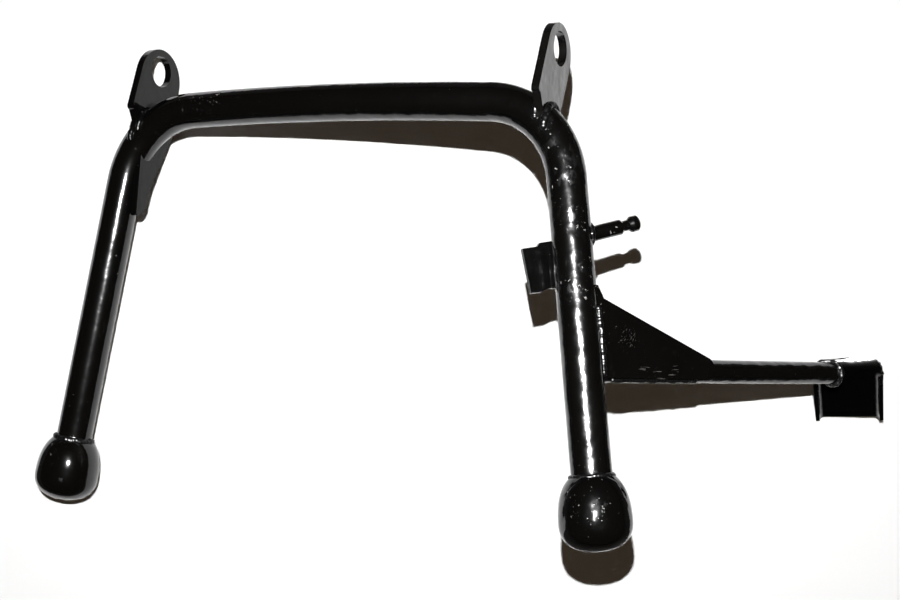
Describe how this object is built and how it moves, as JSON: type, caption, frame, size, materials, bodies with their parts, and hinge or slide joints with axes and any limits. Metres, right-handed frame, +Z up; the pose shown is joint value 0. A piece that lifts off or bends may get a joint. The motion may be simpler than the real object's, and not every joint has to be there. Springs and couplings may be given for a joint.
{
  "type": "motorcycle centre stand",
  "caption": "Centre stand for a motorcycle: a bent steel tube with pivot lugs, flared feet and a side lever with a foot pad.",
  "frame": {"origin": "middle of the plain side's pivot hole, on the pivot axis", "axes": "the stand lies as it comes to rest on the ground, on a foot, a lug and the foot pad: +Z up, +X from the plain leg towards the lever, +Y from the feet towards the pivots"},
  "size_m": [0.688, 0.3776, 0.2444],
  "materials": {
    "black_paint": "gloss",
    "weld_paint": "gloss"
  },
  "bodies": {
    "root": {"main_tube": "black_paint", "foot_cap_left": "black_paint", "foot_cap_right": "black_paint", "pivot_lug_left": "black_paint", "pivot_lug_right": "black_paint", "lever_tube": "black_paint", "lever_gusset": "black_paint", "foot_pad": "black_paint", "spring_post": "black_paint", "stop_bracket": "black_paint", "weld_lug_left_inner": "weld_paint", "weld_lug_left_outer": "weld_paint", "weld_lug_right_inner": "weld_paint", "weld_lug_right_outer": "weld_paint", "weld_foot_left": "weld_paint", "weld_foot_right": "weld_paint", "weld_lever_root": "weld_paint", "weld_gusset_leg": "weld_paint", "weld_gusset_lever": "weld_paint", "weld_pad": "weld_paint", "weld_post": "weld_paint", "weld_bracket": "weld_paint"}
  },
  "joints": []
}
